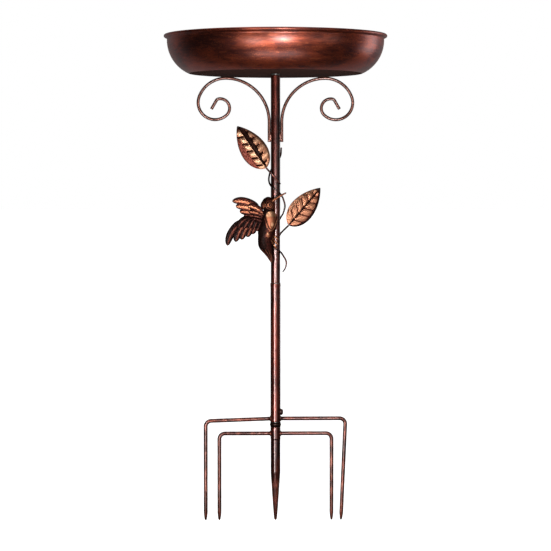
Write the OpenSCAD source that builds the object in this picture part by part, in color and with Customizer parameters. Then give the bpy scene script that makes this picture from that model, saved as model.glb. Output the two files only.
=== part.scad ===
// Bird bath on a staked pole: a spun bowl, a two-piece pole with wire scrolls, vine, leaves and a
// hummingbird, and a five-point ground anchor.
// Millimetres, +Z up. The origin is on the pole's axis, level with the five points of the anchor.

/* [Bowl] */
// Diameter over the rolled rim
bowl_d = 356; // [300:1:430]
// Height from the underside to the top of the rim
bowl_h = 62; // [45:1:80]
// Diameter of the flat bottom
bowl_floor_d = 276; // [220:1:285]
// Thickness of the bowl's sheet
bowl_sheet = 1; // [0.8:0.1:1.6]
// Diameter of the rolled rim bead
rim_bead_d = 5.2; // [4:0.1:7]
// Straight lip between the curved wall and the middle of the bead
bowl_lip = 6.4; // [4:0.1:12]

/* [Pole] */
// Outer diameter of the lower tube and of the spike
lower_tube_d = 16; // [15:0.1:20]
// Outer diameter of the upper tube
upper_tube_d = 15; // [14.5:0.1:18]
// Bore of both tubes
tube_bore_d = 13.4; // [11:0.1:13.8]
// Length of the lower tube
lower_tube_len = 223; // [180:1:300]
// Length of the upper tube
upper_tube_len = 331.5; // [310:0.5:420]
// Length of the bar that joins the two tubes
coupler_len = 80; // [60:1:110]
// Length of the peg under the bowl
bowl_peg_len = 30; // [20:1:45]
// Thickness of the washer under the bowl
washer_t = 1.6; // [1:0.1:3]

/* [Ground anchor] */
// Length of the spike
spike_len = 150; // [145:1:200]
// Length of the spike's point
spike_point_len = 76; // [50:1:85]
// Radius at the very tip of the spike
spike_tip_r = 2; // [1:0.1:3]
// How much the spike's radius steps down under the inner arms
spike_step = 0.3; // [0.2:0.05:0.4]
// Distance from that shoulder up to the inner arms' weld collars
spike_shoulder_gap = 3.5; // [1:0.5:8]
// Length of the bar welded into the spike
spigot_len = 118; // [90:1:150]
// How deep that bar sits in the spike
spigot_depth = 55; // [40:1:60]
// Height of the spacer ring
ring_h = 7.4; // [5:0.1:12]
// Outer diameter of the spacer ring
ring_d = 18; // [17:0.1:22]

/* [Prongs] */
// Diameter of the prong rod
prong_d = 6.3; // [5:0.1:8]
// Bend radius on the rod's centre line
prong_bend_r = 9; // [8:0.5:14]
// Distance from the pole's axis to the inner legs
inner_reach = 90; // [70:1:92]
// Distance from the pole's axis to the outer legs
outer_reach = 112; // [105:1:150]
// Height of the inner arms above the points
inner_arm_z = 139.5; // [120:0.5:140]
// Height of the outer arms above the lower tube's end
outer_arm_rise = 5.5; // [5:0.1:10]
// Length of the sharpened end of a leg
prong_point_len = 12; // [6:0.5:20]
// Radius at a leg's tip
prong_tip_r = 1.5; // [1:0.1:2]
// Droop of the outer left arm, in degrees
left_droop = 2; // [0:0.5:4]
// Inward lean of the outer right leg, in degrees
right_lean = 2.5; // [0:0.5:3]

/* [Clamp] */
// Diameter of the threaded boss
boss_d = 9.6; // [9:0.1:12]
// How far the boss stands out from the tube
boss_len = 3.4; // [2.5:0.1:8]
// Height of the boss above the lower tube's end
boss_rise = 16; // [15.5:0.5:30]
// Diameter of the clamp screw
screw_d = 6; // [5:0.1:6]
// Width across the flats of its hexagon socket
screw_socket_af = 3; // [2.5:0.1:3]

/* [Scrolls] */
// Diameter of the scroll wire
scroll_d = 5; // [4:0.1:6]
// Distance from the top of the upper tube down to the scrolls' lower ends
scroll_drop = 106.5; // [104.5:0.5:116]

/* [Vine, leaves and bird] */
// Distance from the scrolls' lower ends down to the level that the trim is set out from
trim_drop = 225; // [222:1:240]
// Diameter of the vine wire
vine_d = 2.6; // [2:0.1:3]
// Length of the upper leaf
upper_leaf_len = 81; // [60:1:95]
// Width of the upper leaf
upper_leaf_w = 42; // [25:1:46]
// Length of the lower leaf
lower_leaf_len = 78; // [60:1:95]
// Width of the lower leaf
lower_leaf_w = 39; // [25:1:46]
// Thickness of the leaves at the midrib
leaf_t = 1.6; // [1.2:0.1:3]
// Thickness of the wings
wing_t = 1.6; // [1:0.1:3]

/* [Fits] */
// Radial clearance of a bar that turns or slides in a tube
run_gap = 0.1; // [0.05:0.01:0.3]
// Clearance between pieces that rest on each other but come apart
rest_gap = 0.3; // [0.2:0.05:0.5]
// Clearance between pieces that are welded or pushed together
seat_gap = 0.05; // [0.03:0.01:0.1]

/* [Hidden] */
$fn = 96;
// How far a cut runs past the face that it goes through
past = 1;

// Radii
lower_tube_r = lower_tube_d / 2;
upper_tube_r = upper_tube_d / 2;
bore_r = tube_bore_d / 2;
bar_r = bore_r - run_gap;
prong_r = prong_d / 2;
scroll_r = scroll_d / 2;
vine_r = vine_d / 2;

// Heights, from the ground up
ring_z = spike_len + rest_gap;
lower_tube_z = ring_z + ring_h + rest_gap;
outer_arm_z = lower_tube_z + outer_arm_rise;
boss_z = lower_tube_z + boss_rise;
joint_z = lower_tube_z + lower_tube_len;
upper_tube_z = joint_z + rest_gap;
top_z = upper_tube_z + upper_tube_len;
scroll_z = top_z - scroll_drop;
trim_z = scroll_z - trim_drop;
washer_z = top_z + rest_gap;
bowl_z = washer_z + washer_t + rest_gap;
spigot_z = spike_len - spigot_depth;
coupler_z = joint_z - coupler_len / 2;

// Rolled stop inside the lower tube, under the coupler
stop_t = 2;
stop_lip = 1.2;
stop_r = bore_r - stop_lip;
// Depth of the bore in the spike past the spigot's end
bore_run = 3;
// Swell where two runs of wire meet
joint_swell = 0.03;
// Weld collars at the roots of the prongs
weld_root_r = prong_r + 2.6;
weld_len = 4;
spike_shoulder_z = inner_arm_z - weld_root_r - spike_shoulder_gap;
// Tapped hole and screw
screw_tip_gap = 0.3;
screw_proud = 0.8;
screw_socket_depth = 2.5;

// The bowl's wall is one arc from the edge of the floor to the lip. It is upright at the lip or, where
// the bowl is wide and low, level at the floor.
bead_bite = 0.2;
bowl_wall_r = bowl_d / 2 - rim_bead_d + bead_bite;
bowl_floor_r = bowl_floor_d / 2;
bead_z = bowl_z + bowl_h - rim_bead_d / 2;
arc_z = bead_z - bowl_lip;
arc_h = arc_z - bowl_z;
arc_run = bowl_wall_r - bowl_floor_r;
arc_slope = atan2(arc_h, arc_run);
arc_half_turn = min(arc_slope, 90 - arc_slope);
arc_r = norm([arc_run, arc_h]) / (2 * sin(arc_half_turn));
arc_centre = [bowl_floor_r - arc_r * sin(arc_slope - arc_half_turn),
  bowl_z + arc_r * cos(arc_slope - arc_half_turn)];

// Scroll wire, from its foot up: straight runs and arcs, as wire_runs takes them
scroll_runs = [[32, 0], [69.4, 90], [45, 70], [27, 153], [15, 147], [5, 50], [16, 0]];
scroll_weld_len = 16;
scroll_weld_inset = 1.4;

// Heights of the trim are above trim_z. A place on the trim is [x, y from the tube's front, height].
// Wire round the pole: [height, angle round the pole, gap to the pole]. The front of the pole is at
// -90 degrees and the right side at 0.
trim_gap = 0.3;
vine_upper_turns = [[216, 0, 0], [205, 20, 0], [190, 90, 0], [176, 155, 0.6], [165, 182, 1.6],
  [156, 215, 0.8], [149, 270, 0], [142, 325, 0.4], [134, 352, 3.4], [123, 362, 6],
  [112, 368, 3.6], [105, 385, 0.6], [100, 410, 0]];
vine_lower_turns = [[94, 430, 0], [84, 458, 0], [74, 490, 0], [66, 518, 0], [60, 560, 0],
  [56, 610, 0], [52, 660, 0], [48, 700, 0.8], [43, 716, 3.6], [37, 722, 7], [31, 724, 8.4],
  [23, 724, 6.4], [17, 722, 2.2]];
vine_steps = 4;

// Leaves: the place of the leaf's base, its lean from level, and its stem's way round the pole
upper_leaf_base = [-15.2, -4.5, 183.5];
upper_leaf_lean = 124.8;
upper_stem_turns = [[158, -35, 0.3], [161.6, -61, 0.1], [168, -96, 0.7], [175.6, -127, 4.3]];
lower_leaf_base = [21.1, -0.5, 92.3];
lower_leaf_lean = 49.9;
lower_stem_turns = [[76, -47, 0.1], [80, -41, 2.3], [85.6, -30, 7.1]];
leaf_base_w = 1.4;
leaf_tip_w = 0.3;
leaf_dome = 3;
stem_r = 1.2;
stem_gap = 0.4;
stem_steps = 3;

// Bird: the place, half width and half depth of level sections, from the rump up to the crown
bird_sections = [[-16.5, -9.5, 54, 8.2, 7], [-18, -10, 62, 10, 8.6], [-17, -10.5, 72, 11.4, 9.6],
  [-14, -11, 86, 14, 10.4], [-10.5, -11, 103, 12.6, 10], [-11.5, -11, 115, 9.2, 8.4],
  [-12.3, -11, 126, 10.6, 9.2], [-12.2, -11, 134, 8, 7], [-12, -11, 138, 3, 2.6]];
tail_sections = [[-6.4, -7.5, 33, 1.6, 0.8], [-9.6, -8.5, 42, 4.6, 1.6], [-13.6, -9.3, 49, 6.6, 3.4],
  [-16.5, -9.5, 54 - seat_gap, 8, 6.6]];
beak_points = [[-6, -14.5, 130.8], [-1, -15.9, 134.2], [8, -16.5, 139.8], [16.4, -16.5, 144.1]];
beak_root_r = 1.7;
beak_tip_r = 0.5;
// Outlines of the wings as [x, height], from the root round to the root
wing_upper_outline = [[-20, 106], [-30, 121], [-43.5, 130.5], [-56.5, 134.5], [-69.4, 131],
  [-63, 120.6], [-55.5, 110.2], [-46.9, 106.6], [-34, 104], [-22, 98]];
wing_lower_outline = [[-22, 92], [-34, 101], [-50.4, 105.2], [-62.6, 96.6], [-71.2, 81],
  [-77.3, 60], [-69.4, 65], [-63.5, 66.6], [-54.7, 69.6], [-43.5, 75.6], [-30.4, 84], [-23, 82]];
wing_y = -12.5;
wing_sweep = 12;
// Claws: heights of the toes, where they start round the pole and how far they go, and the legs
claw_rings = [66, 73];
claw_wire_r = 1.3;
claw_start = 190;
claw_turn = 150;
claw_leg_angle = 235;
claw_leg_len = 6;

// Wire in the XZ plane, drawn from the local origin along +X. [length, 0] is a straight run,
// [length, 0, r] tapers to radius r, and [radius, turn] is an arc, to the left where turn is positive.
// A slight swell where two runs meet joins them as one solid.
module bend(radius, turn, wire_r) {
  translate([0, 0, sign(turn) * radius])
    rotate([90, 0, 0])
      rotate([0, 0, turn > 0 ? -90 : 90 + turn])
        rotate_extrude(angle = abs(turn))
          translate([radius, 0])
            circle(r = wire_r);
}

module wire_runs(runs, wire_r, i = 0) {
  if (i < len(runs)) {
    size = runs[i][0];
    turn = runs[i][1];
    end_r = len(runs[i]) > 2 ? runs[i][2] : wire_r;
    if (i > 0)
      sphere(r = wire_r + joint_swell);
    if (turn == 0) {
      rotate([0, 90, 0])
        cylinder(r1 = wire_r, r2 = end_r, h = size);
      translate([size, 0, 0])
        wire_runs(runs, wire_r, i + 1);
    } else {
      bend(size, turn, wire_r);
      translate([size * sin(abs(turn)), 0, sign(turn) * size * (1 - cos(turn))])
        rotate([0, -turn, 0])
          wire_runs(runs, wire_r, i + 1);
    }
  }
}

// Skin over closed rings of points, each ring turning left about the way the rings run
module skin(rings) {
  n = len(rings[0]);
  last = len(rings) - 1;
  sides = [for (i = [0 : last - 1]) for (k = [0 : n - 1]) for (half = [0, 1])
    let (near = i * n + k, far = (i + 1) * n + (k + 1) % n)
    half == 0 ? [near, (i + 1) * n + k, far] : [near, far, i * n + (k + 1) % n]];
  start_cap = [for (k = [0 : n - 1]) k];
  end_cap = [for (k = [n - 1 : -1 : 0]) last * n + k];
  polyhedron(points = [for (ring = rings) for (p = ring) p],
    faces = concat([start_cap], sides, [end_cap]), convexity = 6);
}

function unit(v) = v / norm(v);
function between(a, b, c, d, t) =
  0.5 * (2 * b + (c - a) * t + (2 * a - 5 * b + 4 * c - d) * t * t
  + (3 * b - a - 3 * c + d) * t * t * t);
// Smooth run through the given rows, with steps rows from each one to the next
function smooth_run(rows, steps) = let (last = len(rows) - 1)
  [for (i = [0 : last - 1]) for (k = [0 : steps - 1])
    between(rows[max(i - 1, 0)], rows[i], rows[i + 1], rows[min(i + 2, last)], k / steps),
    rows[last]];
function heading(path, i) = unit(path[min(i + 1, len(path) - 1)] - path[max(i - 1, 0)]);
// Ring of wire round point i of a path; the outward direction from the pole keeps it from twisting
function wire_ring(path, i, radius, sides) = let (
  t = heading(path, i),
  n = unit(cross(t, [path[i].x, path[i].y, 0])),
  b = cross(t, n))
  [for (k = [0 : sides - 1]) path[i] + radius * (cos(360 * k / sides) * n + sin(360 * k / sides) * b)];
module wire_along(path, start_r, end_r, sides = 8) {
  last = len(path) - 1;
  skin([for (i = [0 : last]) wire_ring(path, i, start_r + (end_r - start_r) * i / last, sides)]);
}

// Level oval sections, stacked from the lowest up
function oval(s, sides) =
  [for (k = [0 : sides - 1])
    raised([s[0], s[1], s[2]]) + [s[3] * cos(360 * k / sides), s[4] * sin(360 * k / sides), 0]];
module stacked_ovals(sections, steps, sides = 16) {
  skin([for (s = smooth_run(sections, steps)) oval(s, sides)]);
}

function raised(p) = [p.x, p.y - upper_tube_r, trim_z + p.z];
// Points for wire of the given radius round the pole
function round_pole(turns, wire_r) = [for (s = turns) let (r = upper_tube_r + trim_gap + wire_r + s[2])
  [r * cos(s[1]), r * sin(s[1]), trim_z + s[0]]];

module tube(outer_r, length) {
  difference() {
    cylinder(r = outer_r, h = length);
    translate([0, 0, -past])
      cylinder(r = bore_r, h = length + 2 * past);
  }
}

// Keeps a welded piece clear of a tube's wall
module clear_of_tube(tube_r) {
  difference() {
    children();
    cylinder(r = tube_r + seat_gap, h = bowl_z);
  }
}

// L-shaped prong in the XZ plane on the +X side, with a weld collar at its root
module prong(arm_z, reach, droop = 0, lean = 0) {
  turn = 90 - droop + lean;
  drop = prong_bend_r * (cos(droop) + sin(lean));
  arm = (reach - prong_bend_r * (cos(lean) - sin(droop))) / cos(droop);
  leg = (arm_z - arm * sin(droop) - drop - prong_tip_r * sin(lean)) / cos(lean) - prong_point_len;
  clear_of_tube(lower_tube_r)
    translate([0, 0, arm_z])
      rotate([0, droop, 0]) {
        wire_runs([[arm, 0], [prong_bend_r, -turn], [leg, 0], [prong_point_len, 0, prong_tip_r]],
          prong_r);
        rotate([0, 90, 0])
          cylinder(r1 = weld_root_r, r2 = prong_r + joint_swell, h = lower_tube_r + weld_len);
      }
}

module spike() {
  point_steps = 8;
  shank_r = lower_tube_r - spike_step;
  color("#5a2a1e")
    difference() {
      rotate_extrude()
        polygon(concat([[0, 0]],
          [for (i = [0 : point_steps]) [spike_tip_r + (shank_r - spike_tip_r)
            * pow(i / point_steps, 0.8), spike_point_len * i / point_steps]],
          [[shank_r, spike_shoulder_z], [lower_tube_r, spike_shoulder_z],
            [lower_tube_r, spike_len], [0, spike_len]]));
      translate([0, 0, spigot_z - bore_run])
        cylinder(r = bore_r, h = spike_len);
    }
}

module spigot() {
  color("#3a2420")
    translate([0, 0, spigot_z])
      cylinder(r = bar_r, h = spigot_len);
}

module prong_inner_left() {
  color("#6a3024")
    mirror([1, 0, 0])
      prong(inner_arm_z, inner_reach);
}

module prong_inner_right() {
  color("#6a3024")
    prong(inner_arm_z, inner_reach);
}

module spacer_ring() {
  color("#2a1814")
    translate([0, 0, ring_z])
      tube(ring_d / 2, ring_h);
}

module lower_pole() {
  color("#5a2a1e")
    difference() {
      translate([0, 0, lower_tube_z])
        union() {
          tube(lower_tube_r, lower_tube_len);
          translate([0, 0, coupler_z - rest_gap - stop_t - lower_tube_z])
            difference() {
              cylinder(r = (bore_r + lower_tube_r) / 2, h = stop_t);
              translate([0, 0, -past])
                cylinder(r = stop_r, h = stop_t + 2 * past);
            }
        }
      translate([0, 0, boss_z])
        rotate([0, 90, 0])
          cylinder(r = screw_d / 2 + run_gap, h = lower_tube_r + past);
    }
}

module prong_outer_left() {
  color("#6a3024")
    mirror([1, 0, 0])
      prong(outer_arm_z, outer_reach, droop = left_droop);
}

module prong_outer_right() {
  color("#6a3024")
    prong(outer_arm_z, outer_reach, lean = right_lean);
}

module clamp_boss() {
  color("#4a221a")
    clear_of_tube(lower_tube_r)
      translate([0, 0, boss_z])
        rotate([0, 90, 0])
          difference() {
            cylinder(r = boss_d / 2, h = lower_tube_r + boss_len);
            translate([0, 0, -past])
              cylinder(r = screw_d / 2 + run_gap, h = lower_tube_r + boss_len + 2 * past);
          }
}

module clamp_screw() {
  start = bar_r + screw_tip_gap;
  length = lower_tube_r + boss_len + screw_proud - start;
  color("#2a1814")
    translate([start, 0, boss_z])
      rotate([0, 90, 0])
        difference() {
          cylinder(r = screw_d / 2, h = length);
          translate([0, 0, length - screw_socket_depth])
            cylinder(d = screw_socket_af / cos(30), h = screw_socket_depth + past, $fn = 6);
        }
}

module coupler() {
  color("#3a2420")
    translate([0, 0, coupler_z])
      cylinder(r = bar_r, h = coupler_len);
}

module upper_pole() {
  color("#5a2a1e")
    translate([0, 0, upper_tube_z])
      tube(upper_tube_r, upper_tube_len);
}

// Scroll on the +X side, with a weld bead along its foot
module scroll() {
  foot_x = upper_tube_r + seat_gap + scroll_r;
  translate([foot_x, 0, scroll_z])
    rotate([0, -90, 0])
      mirror([0, 0, 1])
        wire_runs(scroll_runs, scroll_r);
  clear_of_tube(upper_tube_r)
    translate([foot_x - scroll_weld_inset, 0, scroll_z])
      cylinder(r = scroll_r, h = scroll_weld_len);
}

module scroll_left() {
  color("#6a3024")
    mirror([1, 0, 0])
      scroll();
}

module scroll_right() {
  color("#6a3024")
    scroll();
}

module vine(turns) {
  wire_along(round_pole(smooth_run(turns, vine_steps), vine_r), vine_r, vine_r);
}

module vine_upper() {
  color("#4a221a")
    vine(vine_upper_turns);
}

module vine_lower() {
  color("#4a221a")
    vine(vine_lower_turns);
}

// Leaf blade along +X from its base, with a lens-shaped section that is domed towards +Z
module leaf(length, width) {
  steps = 14;
  half = 8;
  outline = [for (i = [0 : steps]) let (t = i / steps)
    [t, max(width / 2 * pow(t, 0.6) * pow(1 - t, 0.9) / (pow(0.4, 0.6) * pow(0.6, 0.9)),
      t < 0.5 ? leaf_base_w : leaf_tip_w)]];
  skin([for (s = outline) [for (k = [0 : 2 * half - 1]) let (a = 180 * k / half, v = s[1] * cos(a))
    [s[0] * length, v, (leaf_dome * sin(180 * s[0]) * (1 - pow(2 * v / width, 2)))
      + (k % half == 0 ? 0 : leaf_t / 2 * sin(a))]]]);
}

module placed_leaf(base, lean, length, width) {
  translate(raised(base))
    rotate([0, -lean, 0])
      rotate([90, 0, 0])
        leaf(length, width);
}

function leaf_foot(base, lean, along) =
  raised(base) + along * [cos(lean), 0, sin(lean)];

module leaf_upper() {
  color("#b0693f")
    placed_leaf(upper_leaf_base, upper_leaf_lean, upper_leaf_len, upper_leaf_w);
}

module stem(turns, foot) {
  wire_along(smooth_run(concat(round_pole(turns, stem_r), [foot]), stem_steps), stem_r, stem_r);
}

module leaf_upper_stem() {
  color("#6a3024")
    stem(upper_stem_turns, leaf_foot(upper_leaf_base, upper_leaf_lean, -stem_gap));
}

module leaf_lower() {
  color("#b0693f")
    placed_leaf(lower_leaf_base, lower_leaf_lean, lower_leaf_len, lower_leaf_w);
}

module leaf_lower_stem() {
  color("#4a221a")
    stem(lower_stem_turns, leaf_foot(lower_leaf_base, lower_leaf_lean, -stem_gap));
}

module bird_body() {
  color("#6f3a28")
    stacked_ovals(bird_sections, 3);
}

module bird_beak() {
  color("#4a221a")
    wire_along([for (p = smooth_run(beak_points, 3)) raised(p)], beak_root_r, beak_tip_r);
}

// Wing plate, swept back from the viewer's side about its root
module wing(outline) {
  root = outline[0];
  translate(raised([root.x, wing_y, 0]))
    rotate([0, 0, wing_sweep])
      rotate([90, 0, 0])
        translate([-root.x, 0, 0])
          linear_extrude(height = wing_t)
            polygon(outline);
}

module bird_wing_upper() {
  color("#7c4630")
    wing(wing_upper_outline);
}

module bird_wing_lower() {
  color("#7c4630")
    wing(wing_lower_outline);
}

module bird_tail() {
  color("#4a221a")
    stacked_ovals(tail_sections, 3);
}

// Two feet: wire toes bent round the front of the pole
module bird_claws() {
  ring_r = upper_tube_r + seat_gap + claw_wire_r;
  color("#3a2420")
    for (z = claw_rings)
      translate([0, 0, trim_z + z]) {
        rotate([0, 0, claw_start])
          rotate_extrude(angle = claw_turn)
            translate([ring_r, 0])
              circle(r = claw_wire_r, $fn = 24);
        rotate([0, 0, claw_leg_angle])
          translate([ring_r, 0, 0])
            rotate([0, 90, 0])
              cylinder(r = claw_wire_r - seat_gap, h = claw_leg_len, $fn = 24);
      }
}

module bowl_washer() {
  color("#1c1614")
    translate([0, 0, washer_z])
      tube(upper_tube_r, washer_t);
}

module bowl() {
  color("#7a3420")
    rotate_extrude($fn = 180)
      union() {
        translate([0, bowl_z])
          square([bowl_floor_r, bowl_sheet]);
        intersection() {
          difference() {
            translate(arc_centre)
              circle(r = arc_r);
            translate(arc_centre)
              circle(r = arc_r - bowl_sheet);
          }
          translate([bowl_floor_r - bowl_sheet, bowl_z])
            square([bowl_d, arc_h]);
        }
        translate([bowl_wall_r - bowl_sheet, arc_z])
          square([bowl_sheet, bowl_lip]);
        translate([bowl_d / 2 - rim_bead_d / 2, bead_z])
          circle(d = rim_bead_d, $fn = 48);
      }
}

module bowl_peg() {
  color("#3a2420")
    translate([0, 0, bowl_z - bowl_peg_len])
      cylinder(r = bar_r, h = bowl_peg_len);
}

spike();
spigot();
prong_inner_left();
prong_inner_right();
spacer_ring();
lower_pole();
prong_outer_left();
prong_outer_right();
clamp_boss();
clamp_screw();
coupler();
upper_pole();
scroll_left();
scroll_right();
vine_upper();
vine_lower();
leaf_upper();
leaf_upper_stem();
leaf_lower();
leaf_lower_stem();
bird_body();
bird_beak();
bird_wing_upper();
bird_wing_lower();
bird_tail();
bird_claws();
bowl_washer();
bowl();
bowl_peg();
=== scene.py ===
import math

import bpy
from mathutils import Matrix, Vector, noise


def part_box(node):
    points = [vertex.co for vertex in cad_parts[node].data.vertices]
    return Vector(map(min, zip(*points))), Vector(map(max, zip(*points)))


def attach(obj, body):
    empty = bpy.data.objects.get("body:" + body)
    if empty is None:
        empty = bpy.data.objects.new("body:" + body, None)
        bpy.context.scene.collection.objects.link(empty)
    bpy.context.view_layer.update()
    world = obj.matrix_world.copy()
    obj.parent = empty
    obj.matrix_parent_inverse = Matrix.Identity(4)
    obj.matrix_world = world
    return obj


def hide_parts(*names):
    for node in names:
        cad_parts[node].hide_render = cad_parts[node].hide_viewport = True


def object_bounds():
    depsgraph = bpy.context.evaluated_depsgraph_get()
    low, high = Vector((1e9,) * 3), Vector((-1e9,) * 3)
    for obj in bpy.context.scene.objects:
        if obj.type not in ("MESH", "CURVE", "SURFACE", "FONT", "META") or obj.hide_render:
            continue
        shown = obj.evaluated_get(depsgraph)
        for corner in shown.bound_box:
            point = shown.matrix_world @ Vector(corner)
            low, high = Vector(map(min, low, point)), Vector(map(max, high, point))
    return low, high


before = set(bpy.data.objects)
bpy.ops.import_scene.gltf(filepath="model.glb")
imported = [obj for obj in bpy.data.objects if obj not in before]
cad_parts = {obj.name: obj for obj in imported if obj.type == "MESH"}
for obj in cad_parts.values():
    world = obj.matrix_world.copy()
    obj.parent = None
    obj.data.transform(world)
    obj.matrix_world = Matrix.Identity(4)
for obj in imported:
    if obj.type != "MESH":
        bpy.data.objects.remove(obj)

CAD_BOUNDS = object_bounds()
MM = 0.001

# Sizes of the copper work that the frame doesn't hold, in millimetres and degrees. In the tables of
# the vine, leaves and bird, a height "up" is above the upper tube's lower end.
BOWL_SHEET = 1.0
BOWL_FLOOR_R = 138.0
BOWL_CORNER_R = 8.0
RIM_BEAD_R = 2.6
BOWL_LIP = 6.4
SPIKE_STEP = 0.3
SPIKE_SHOULDER_Z = 130.25
PRONG_R = 3.15
PRONG_BEND_R = 9.0
PRONG_POINT = 12.0
INNER_ARM_Z = 139.5
OUTER_ARM_FROM_END = 5.5
OUTER_RIGHT_REACH = 112.0
LEFT_DROOP = 2.0
RIGHT_LEAN = 2.5
SCROLL_R = 2.5
VINE_R = 1.4
VINE_STAND_OFF = 1.6
STEM_R = 1.45
SLIP = 0.1

# Camera, in metres and degrees
CAMERA_DISTANCE = 3.5
CAMERA_HEIGHT = 0.535
CAMERA_YAW = 1.7
PICTURE_WIDTH = 0.881
PICTURE_MIDDLE = 0.393


def low(node):
    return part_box(node)[0] / MM


def high(node):
    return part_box(node)[1] / MM


def put(name, data):
    """A new object in the scene."""
    thing = bpy.data.objects.new(name, data)
    bpy.context.scene.collection.objects.link(thing)
    return thing


def half_width(node):
    return (high(node).x - low(node).x) / 2


def angles(count):
    """Equal steps round a circle."""
    return [math.tau * k / count for k in range(count)]


# -------------------- shader maths


class Tone:
    """A shader socket that takes part in Python arithmetic."""

    def __init__(self, finish, socket):
        self.finish = finish
        self.socket = socket

    def joined(self, operation, first, second):
        return self.finish.add("ShaderNodeMath", {"operation": operation}, {0: first, 1: second})

    def __add__(self, other):
        return self.joined("ADD", self, other)

    __radd__ = __add__

    def __sub__(self, other):
        return self.joined("SUBTRACT", self, other)

    def __rsub__(self, other):
        return self.joined("SUBTRACT", other, self)

    def __mul__(self, other):
        return self.joined("MULTIPLY", self, other)

    __rmul__ = __mul__

    def step(self, start, end):
        """0 below start, 1 above end, and a smooth rise between them."""
        return self.finish.add("ShaderNodeMapRange", {"interpolation_type": "SMOOTHSTEP", "clamp": True},
                               {"Value": self, "From Min": start, "From Max": end})


class Finish:
    """A material's node tree, with one method that adds any node."""

    def __init__(self, name, **surface):
        self.material = bpy.data.materials.new(name)
        self.material.use_nodes = True
        self.tree = self.material.node_tree
        self.tree.nodes.clear()
        self.shader = self.tree.nodes.new("ShaderNodeBsdfPrincipled")
        output = self.tree.nodes.new("ShaderNodeOutputMaterial")
        self.tree.links.new(self.shader.outputs[0], output.inputs[0])
        self.place = self.add("ShaderNodeTexCoord", {}, {}, "Object")
        self.set(**surface)

    def add(self, kind, settings, inputs, output=0):
        node = self.tree.nodes.new(kind)
        for key, setting in settings.items():
            setattr(node, key, setting)
        for key, value in inputs.items():
            self.feed(node.inputs[key], value)
        return Tone(self, node.outputs[output])

    def feed(self, socket, value):
        if isinstance(value, Tone):
            self.tree.links.new(value.socket, socket)
        else:
            socket.default_value = value

    def set(self, **surface):
        for key, value in surface.items():
            self.feed(self.shader.inputs[key.replace("_", " ")], value)

    def stretched(self, x, y, z):
        return self.add("ShaderNodeVectorMath", {"operation": "MULTIPLY"}, {0: self.place, 1: (x, y, z)})

    def grain(self, x, y, z, detail, roughness, warp=0.0):
        """Cloudy noise from 0 to 1, with its cells 1/x, 1/y and 1/z metres in size."""
        return self.add("ShaderNodeTexNoise", {},
                        {"Vector": self.stretched(x, y, z), "Scale": 1.0, "Detail": detail,
                         "Roughness": roughness, "Distortion": warp})

    def relief_and_painted_light(self):
        """How far the metal stands up at each point, from 0 in a groove to 1 on a crest. On the leaves, the
        bird and the bowl's underside it also holds painted highlight and painted shade.
        """
        return self.add("ShaderNodeAttribute", {"attribute_name": "relief_and_painted_light"}, {}, "Fac")

    def blend(self, share, first, second):
        return self.add("ShaderNodeMix", {"data_type": "RGBA"}, {0: share, 6: first, 7: second}, 2)

    def bumped(self, height, depth, strength):
        return self.add("ShaderNodeBump", {}, {"Strength": strength, "Distance": depth, "Height": height})


def colour(red, green, blue):
    return (red, green, blue, 1.0)


def spun_copper(name):
    """The bowl: red-brown glaze over copper, mottled and brushed level. Matt underneath, and coloured
    near-black there as painted shade.
    """
    f = Finish(name, Coat_Roughness=0.3, Coat_IOR=1.55, Specular_Tint=colour(0.4, 0.2, 0.15))
    relief_and_painted_light = f.relief_and_painted_light()
    clouds = f.grain(14, 14, 30, 5, 0.62, 0.4)
    bands = f.grain(46, 46, 300, 5, 0.7)
    hairs = f.grain(180, 180, 1500, 3, 0.6)
    specks = f.grain(420, 420, 700, 4, 0.75)
    worn = (clouds * 0.6 + bands * 0.3 + specks * 0.3).step(0.48, 0.72)
    rubbed = (bands * 0.42 + specks * 0.75 + relief_and_painted_light * 0.32).step(0.74, 0.95)
    soot = (f.grain(16, 16, 60, 5, 0.7, 0.6) * 0.7 + specks * 0.35).step(0.54, 0.7)
    skin = f.blend(worn, colour(0.13, 0.016, 0.009), colour(0.52, 0.085, 0.028))
    skin = f.blend(rubbed * 0.5, skin, colour(0.85, 0.28, 0.13))
    skin = f.blend(soot * 0.6, skin, colour(0.016, 0.005, 0.004))
    # seen is 0 on the underside: there the near-black colour is painted shade, and the metal turns matt
    seen = relief_and_painted_light.step(0.02, 0.2)
    f.set(
        Base_Color=f.blend(seen, colour(0.03, 0.009, 0.006), skin),
        Metallic=seen,
        Coat_Weight=seen * (1 - 0.45 * specks.step(0.5, 0.75)) * (1 - 0.35 * soot),
        Roughness=1 - seen * (0.66 - 0.12 * clouds - 0.1 * soot + 0.06 * rubbed),
        Normal=f.bumped(hairs * 0.5 + specks * 0.5, 0.00012, 0.6),
    )
    return f.material


def rubbed_bronze(name, dark, middle, bright, per_metre, wear, coat=0.5):
    """Rods, tubes and wire: dark glaze with red-copper patches, so many to a metre of height."""
    f = Finish(name, Metallic=0.85, Coat_Weight=coat, Coat_Roughness=0.18, Coat_IOR=1.6,
               Specular_Tint=colour(0.25, 0.12, 0.1))
    relief_and_painted_light = f.relief_and_painted_light()
    patches = f.grain(34, 34, per_metre, 4, 0.6, 0.5)
    smears = f.grain(110, 110, 60, 4, 0.65)
    specks = f.grain(900, 900, 700, 3, 0.7)
    worn = (patches * 0.75 + smears * 0.28).step(0.4, 0.66)
    rubbed = (smears * 0.5 + specks * 0.4 + relief_and_painted_light * 0.5).step(0.82 - 0.2 * wear, 1.02 - 0.2 * wear)
    skin = f.blend(worn, dark, middle)
    skin = f.blend(rubbed * 0.75, skin, bright)
    skin = f.blend(1 - relief_and_painted_light.step(0.05, 0.4), skin, colour(0.012, 0.007, 0.006))
    f.set(
        Base_Color=skin,
        Roughness=0.26 + 0.16 * patches + 0.1 * specks,
        Normal=f.bumped(smears * 0.6 + specks * 0.4, 0.00018, 0.55),
    )
    return f.material


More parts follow.
